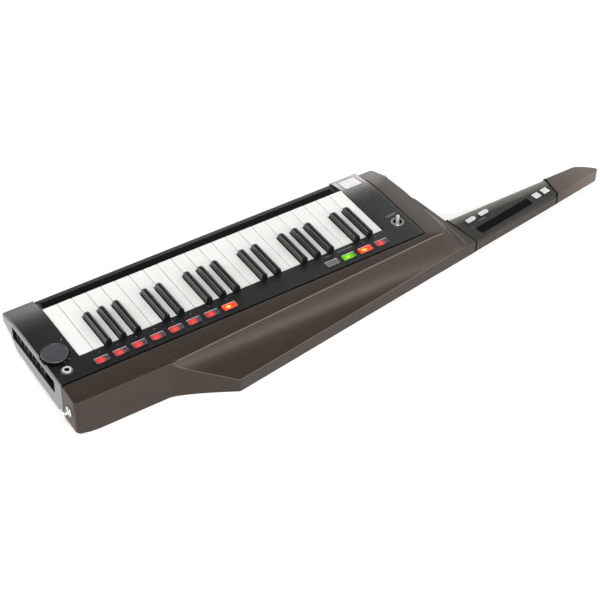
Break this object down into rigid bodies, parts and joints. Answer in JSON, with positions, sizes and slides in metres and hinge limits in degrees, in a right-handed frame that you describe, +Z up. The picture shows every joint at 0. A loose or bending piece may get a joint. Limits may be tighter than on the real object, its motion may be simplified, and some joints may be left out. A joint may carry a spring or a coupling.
{
  "type": "keytar",
  "caption": "Keytar: a strap-on mini-key keyboard in a carved dark wooden body, with a neck of hand controls, lit panel buttons, knob, toggle switch, ribbons and side sockets.",
  "frame": {"origin": "on the flat back, under the middle of the keyboard", "axes": "+X along the keys toward the neck and head, +Y toward the player's side of the keys, +Z up out of the panel"},
  "size_m": [0.8465, 0.229, 0.0674],
  "materials": {
    "dark_wood": "dark brown open-grain wood under a satin clear coat",
    "case_black": "fine-textured black plastic",
    "panel_black": "satin charcoal plastic",
    "neck_panel_black": "satin dark grey plastic",
    "white_key": "polished white key plastic",
    "black_key": "satin black key plastic",
    "ribbon_film": "smooth black touch film",
    "button_white": "pale grey rubber",
    "button_red": "translucent rubber caps, lit red from below",
    "button_green": "translucent rubber caps, lit from below",
    "chrome": "polished chrome plate",
    "circuit_board": "green solder mask",
    "display_window": "clear window over a pale display"
  },
  "bodies": {
    "body": {"wood_body": "dark_wood", "lower_case": "case_black", "top_panel": "panel_black", "display_window": "display_window", "long_ribbon": "ribbon_film", "key_chassis": "case_black", "main_board": "circuit_board", "switch_board": "circuit_board", "side_board": "circuit_board", "phones_socket": "chrome", "toggle_bushing": "chrome", "neck_panel": "neck_panel_black", "short_ribbon": "ribbon_film", "tail_strap_pin": "chrome", "shoulder_strap_pin": "chrome"},
    "volume_knob": {"volume_knob": "panel_black"},
    "toggle_lever": {"toggle_lever": "chrome"},
    "program_buttons": {"program_buttons": "button_red"},
    "function_buttons": {"function_buttons": "button_green"},
    "octave_down_button": {"octave_down_button": "button_white"},
    "octave_up_button": {"octave_up_button": "button_white"},
    "neck_inner_button": {"neck_inner_button": "button_white"},
    "neck_outer_button": {"neck_outer_button": "button_white"},
    "white_key_01": {"white_key_01": "white_key"},
    "white_key_02": {"white_key_02": "white_key"},
    "white_key_03": {"white_key_03": "white_key"},
    "white_key_04": {"white_key_04": "white_key"},
    "white_key_05": {"white_key_05": "white_key"},
    "white_key_06": {"white_key_06": "white_key"},
    "white_key_07": {"white_key_07": "white_key"},
    "white_key_08": {"white_key_08": "white_key"},
    "white_key_09": {"white_key_09": "white_key"},
    "white_key_10": {"white_key_10": "white_key"},
    "white_key_11": {"white_key_11": "white_key"},
    "white_key_12": {"white_key_12": "white_key"},
    "white_key_13": {"white_key_13": "white_key"},
    "white_key_14": {"white_key_14": "white_key"},
    "white_key_15": {"white_key_15": "white_key"},
    "white_key_16": {"white_key_16": "white_key"},
    "white_key_17": {"white_key_17": "white_key"},
    "white_key_18": {"white_key_18": "white_key"},
    "white_key_19": {"white_key_19": "white_key"},
    "white_key_20": {"white_key_20": "white_key"},
    "white_key_21": {"white_key_21": "white_key"},
    "white_key_22": {"white_key_22": "white_key"},
    "black_key_01": {"black_key_01": "black_key"},
    "black_key_02": {"black_key_02": "black_key"},
    "black_key_03": {"black_key_03": "black_key"},
    "black_key_04": {"black_key_04": "black_key"},
    "black_key_05": {"black_key_05": "black_key"},
    "black_key_06": {"black_key_06": "black_key"},
    "black_key_07": {"black_key_07": "black_key"},
    "black_key_08": {"black_key_08": "black_key"},
    "black_key_09": {"black_key_09": "black_key"},
    "black_key_10": {"black_key_10": "black_key"},
    "black_key_11": {"black_key_11": "black_key"},
    "black_key_12": {"black_key_12": "black_key"},
    "black_key_13": {"black_key_13": "black_key"},
    "black_key_14": {"black_key_14": "black_key"},
    "black_key_15": {"black_key_15": "black_key"}
  },
  "joints": [
    {"name": "volume_turn", "type": "hinge", "parent": "body", "child": "volume_knob", "pos_m": [-0.2445, -0.0325, 0.058], "axis": [0, 0, 1], "range_deg": [-150, 150]},
    {"name": "toggle_tilt", "type": "hinge", "parent": "body", "child": "toggle_lever", "pos_m": [0.245, -0.0451, 0.0544], "axis": [1, 0, 0], "range_deg": [-12, 12]},
    {"name": "program_press", "type": "slide", "parent": "body", "child": "program_buttons", "axis": [0, 0, -1], "range_m": [0, 0.001], "stiffness_N_per_m": 1200, "springref_m": -0.0006},
    {"name": "function_press", "type": "slide", "parent": "body", "child": "function_buttons", "axis": [0, 0, -1], "range_m": [0, 0.001], "stiffness_N_per_m": 800, "springref_m": -0.0006},
    {"name": "octave_down_press", "type": "slide", "parent": "body", "child": "octave_down_button", "axis": [0, 0, -1], "range_m": [0, 0.001], "stiffness_N_per_m": 500, "springref_m": -0.0006},
    {"name": "octave_up_press", "type": "slide", "parent": "body", "child": "octave_up_button", "axis": [0, 0, -1], "range_m": [0, 0.001], "stiffness_N_per_m": 500, "springref_m": -0.0006},
    {"name": "neck_inner_press", "type": "slide", "parent": "body", "child": "neck_inner_button", "axis": [0, 0, -1], "range_m": [0, 0.001], "stiffness_N_per_m": 500, "springref_m": -0.0006},
    {"name": "neck_outer_press", "type": "slide", "parent": "body", "child": "neck_outer_button", "axis": [0, 0, -1], "range_m": [0, 0.001], "stiffness_N_per_m": 500, "springref_m": -0.0006},
    {"name": "white_key_01_press", "type": "hinge", "parent": "body", "child": "white_key_01", "pos_m": [-0.21, -0.0575, 0.044], "axis": [-1, 0, 0], "range_deg": [0, 2.1], "stiffness_Nm_per_rad": 0.6, "springref_deg": -5.73},
    {"name": "white_key_02_press", "type": "hinge", "parent": "body", "child": "white_key_02", "pos_m": [-0.19, -0.0575, 0.044], "axis": [-1, 0, 0], "range_deg": [0, 2.1], "stiffness_Nm_per_rad": 0.6, "springref_deg": -5.73},
    {"name": "white_key_03_press", "type": "hinge", "parent": "body", "child": "white_key_03", "pos_m": [-0.17, -0.0575, 0.044], "axis": [-1, 0, 0], "range_deg": [0, 2.1], "stiffness_Nm_per_rad": 0.6, "springref_deg": -5.73},
    {"name": "white_key_04_press", "type": "hinge", "parent": "body", "child": "white_key_04", "pos_m": [-0.15, -0.0575, 0.044], "axis": [-1, 0, 0], "range_deg": [0, 2.1], "stiffness_Nm_per_rad": 0.6, "springref_deg": -5.73},
    {"name": "white_key_05_press", "type": "hinge", "parent": "body", "child": "white_key_05", "pos_m": [-0.13, -0.0575, 0.044], "axis": [-1, 0, 0], "range_deg": [0, 2.1], "stiffness_Nm_per_rad": 0.6, "springref_deg": -5.73},
    {"name": "white_key_06_press", "type": "hinge", "parent": "body", "child": "white_key_06", "pos_m": [-0.11, -0.0575, 0.044], "axis": [-1, 0, 0], "range_deg": [0, 2.1], "stiffness_Nm_per_rad": 0.6, "springref_deg": -5.73},
    {"name": "white_key_07_press", "type": "hinge", "parent": "body", "child": "white_key_07", "pos_m": [-0.09, -0.0575, 0.044], "axis": [-1, 0, 0], "range_deg": [0, 2.1], "stiffness_Nm_per_rad": 0.6, "springref_deg": -5.73},
    {"name": "white_key_08_press", "type": "hinge", "parent": "body", "child": "white_key_08", "pos_m": [-0.07, -0.0575, 0.044], "axis": [-1, 0, 0], "range_deg": [0, 2.1], "stiffness_Nm_per_rad": 0.6, "springref_deg": -5.73},
    {"name": "white_key_09_press", "type": "hinge", "parent": "body", "child": "white_key_09", "pos_m": [-0.05, -0.0575, 0.044], "axis": [-1, 0, 0], "range_deg": [0, 2.1], "stiffness_Nm_per_rad": 0.6, "springref_deg": -5.73},
    {"name": "white_key_10_press", "type": "hinge", "parent": "body", "child": "white_key_10", "pos_m": [-0.03, -0.0575, 0.044], "axis": [-1, 0, 0], "range_deg": [0, 2.1], "stiffness_Nm_per_rad": 0.6, "springref_deg": -5.73},
    {"name": "white_key_11_press", "type": "hinge", "parent": "body", "child": "white_key_11", "pos_m": [-0.01, -0.0575, 0.044], "axis": [-1, 0, 0], "range_deg": [0, 2.1], "stiffness_Nm_per_rad": 0.6, "springref_deg": -5.73},
    {"name": "white_key_12_press", "type": "hinge", "parent": "body", "child": "white_key_12", "pos_m": [0.01, -0.0575, 0.044], "axis": [-1, 0, 0], "range_deg": [0, 2.1], "stiffness_Nm_per_rad": 0.6, "springref_deg": -5.73},
    {"name": "white_key_13_press", "type": "hinge", "parent": "body", "child": "white_key_13", "pos_m": [0.03, -0.0575, 0.044], "axis": [-1, 0, 0], "range_deg": [0, 2.1], "stiffness_Nm_per_rad": 0.6, "springref_deg": -5.73},
    {"name": "white_key_14_press", "type": "hinge", "parent": "body", "child": "white_key_14", "pos_m": [0.05, -0.0575, 0.044], "axis": [-1, 0, 0], "range_deg": [0, 2.1], "stiffness_Nm_per_rad": 0.6, "springref_deg": -5.73},
    {"name": "white_key_15_press", "type": "hinge", "parent": "body", "child": "white_key_15", "pos_m": [0.07, -0.0575, 0.044], "axis": [-1, 0, 0], "range_deg": [0, 2.1], "stiffness_Nm_per_rad": 0.6, "springref_deg": -5.73},
    {"name": "white_key_16_press", "type": "hinge", "parent": "body", "child": "white_key_16", "pos_m": [0.09, -0.0575, 0.044], "axis": [-1, 0, 0], "range_deg": [0, 2.1], "stiffness_Nm_per_rad": 0.6, "springref_deg": -5.73},
    {"name": "white_key_17_press", "type": "hinge", "parent": "body", "child": "white_key_17", "pos_m": [0.11, -0.0575, 0.044], "axis": [-1, 0, 0], "range_deg": [0, 2.1], "stiffness_Nm_per_rad": 0.6, "springref_deg": -5.73},
    {"name": "white_key_18_press", "type": "hinge", "parent": "body", "child": "white_key_18", "pos_m": [0.13, -0.0575, 0.044], "axis": [-1, 0, 0], "range_deg": [0, 2.1], "stiffness_Nm_per_rad": 0.6, "springref_deg": -5.73},
    {"name": "white_key_19_press", "type": "hinge", "parent": "body", "child": "white_key_19", "pos_m": [0.15, -0.0575, 0.044], "axis": [-1, 0, 0], "range_deg": [0, 2.1], "stiffness_Nm_per_rad": 0.6, "springref_deg": -5.73},
    {"name": "white_key_20_press", "type": "hinge", "parent": "body", "child": "white_key_20", "pos_m": [0.17, -0.0575, 0.044], "axis": [-1, 0, 0], "range_deg": [0, 2.1], "stiffness_Nm_per_rad": 0.6, "springref_deg": -5.73},
    {"name": "white_key_21_press", "type": "hinge", "parent": "body", "child": "white_key_21", "pos_m": [0.19, -0.0575, 0.044], "axis": [-1, 0, 0], "range_deg": [0, 2.1], "stiffness_Nm_per_rad": 0.6, "springref_deg": -5.73},
    {"name": "white_key_22_press", "type": "hinge", "parent": "body", "child": "white_key_22", "pos_m": [0.21, -0.0575, 0.044], "axis": [-1, 0, 0], "range_deg": [0, 2.1], "stiffness_Nm_per_rad": 0.6, "springref_deg": -5.73},
    {"name": "black_key_01_press", "type": "hinge", "parent": "body", "child": "black_key_01", "pos_m": [-0.18, -0.0575, 0.044], "axis": [-1, 0, 0], "range_deg": [0, 2.1], "stiffness_Nm_per_rad": 0.6, "springref_deg": -5.73},
    {"name": "black_key_02_press", "type": "hinge", "parent": "body", "child": "black_key_02", "pos_m": [-0.16, -0.0575, 0.044], "axis": [-1, 0, 0], "range_deg": [0, 2.1], "stiffness_Nm_per_rad": 0.6, "springref_deg": -5.73},
    {"name": "black_key_03_press", "type": "hinge", "parent": "body", "child": "black_key_03", "pos_m": [-0.14, -0.0575, 0.044], "axis": [-1, 0, 0], "range_deg": [0, 2.1], "stiffness_Nm_per_rad": 0.6, "springref_deg": -5.73},
    {"name": "black_key_04_press", "type": "hinge", "parent": "body", "child": "black_key_04", "pos_m": [-0.1, -0.0575, 0.044], "axis": [-1, 0, 0], "range_deg": [0, 2.1], "stiffness_Nm_per_rad": 0.6, "springref_deg": -5.73},
    {"name": "black_key_05_press", "type": "hinge", "parent": "body", "child": "black_key_05", "pos_m": [-0.08, -0.0575, 0.044], "axis": [-1, 0, 0], "range_deg": [0, 2.1], "stiffness_Nm_per_rad": 0.6, "springref_deg": -5.73},
    {"name": "black_key_06_press", "type": "hinge", "parent": "body", "child": "black_key_06", "pos_m": [-0.04, -0.0575, 0.044], "axis": [-1, 0, 0], "range_deg": [0, 2.1], "stiffness_Nm_per_rad": 0.6, "springref_deg": -5.73},
    {"name": "black_key_07_press", "type": "hinge", "parent": "body", "child": "black_key_07", "pos_m": [-0.02, -0.0575, 0.044], "axis": [-1, 0, 0], "range_deg": [0, 2.1], "stiffness_Nm_per_rad": 0.6, "springref_deg": -5.73},
    {"name": "black_key_08_press", "type": "hinge", "parent": "body", "child": "black_key_08", "pos_m": [0, -0.0575, 0.044], "axis": [-1, 0, 0], "range_deg": [0, 2.1], "stiffness_Nm_per_rad": 0.6, "springref_deg": -5.73},
    {"name": "black_key_09_press", "type": "hinge", "parent": "body", "child": "black_key_09", "pos_m": [0.04, -0.0575, 0.044], "axis": [-1, 0, 0], "range_deg": [0, 2.1], "stiffness_Nm_per_rad": 0.6, "springref_deg": -5.73},
    {"name": "black_key_10_press", "type": "hinge", "parent": "body", "child": "black_key_10", "pos_m": [0.06, -0.0575, 0.044], "axis": [-1, 0, 0], "range_deg": [0, 2.1], "stiffness_Nm_per_rad": 0.6, "springref_deg": -5.73},
    {"name": "black_key_11_press", "type": "hinge", "parent": "body", "child": "black_key_11", "pos_m": [0.1, -0.0575, 0.044], "axis": [-1, 0, 0], "range_deg": [0, 2.1], "stiffness_Nm_per_rad": 0.6, "springref_deg": -5.73},
    {"name": "black_key_12_press", "type": "hinge", "parent": "body", "child": "black_key_12", "pos_m": [0.12, -0.0575, 0.044], "axis": [-1, 0, 0], "range_deg": [0, 2.1], "stiffness_Nm_per_rad": 0.6, "springref_deg": -5.73},
    {"name": "black_key_13_press", "type": "hinge", "parent": "body", "child": "black_key_13", "pos_m": [0.14, -0.0575, 0.044], "axis": [-1, 0, 0], "range_deg": [0, 2.1], "stiffness_Nm_per_rad": 0.6, "springref_deg": -5.73},
    {"name": "black_key_14_press", "type": "hinge", "parent": "body", "child": "black_key_14", "pos_m": [0.18, -0.0575, 0.044], "axis": [-1, 0, 0], "range_deg": [0, 2.1], "stiffness_Nm_per_rad": 0.6, "springref_deg": -5.73},
    {"name": "black_key_15_press", "type": "hinge", "parent": "body", "child": "black_key_15", "pos_m": [0.2, -0.0575, 0.044], "axis": [-1, 0, 0], "range_deg": [0, 2.1], "stiffness_Nm_per_rad": 0.6, "springref_deg": -5.73}
  ]
}
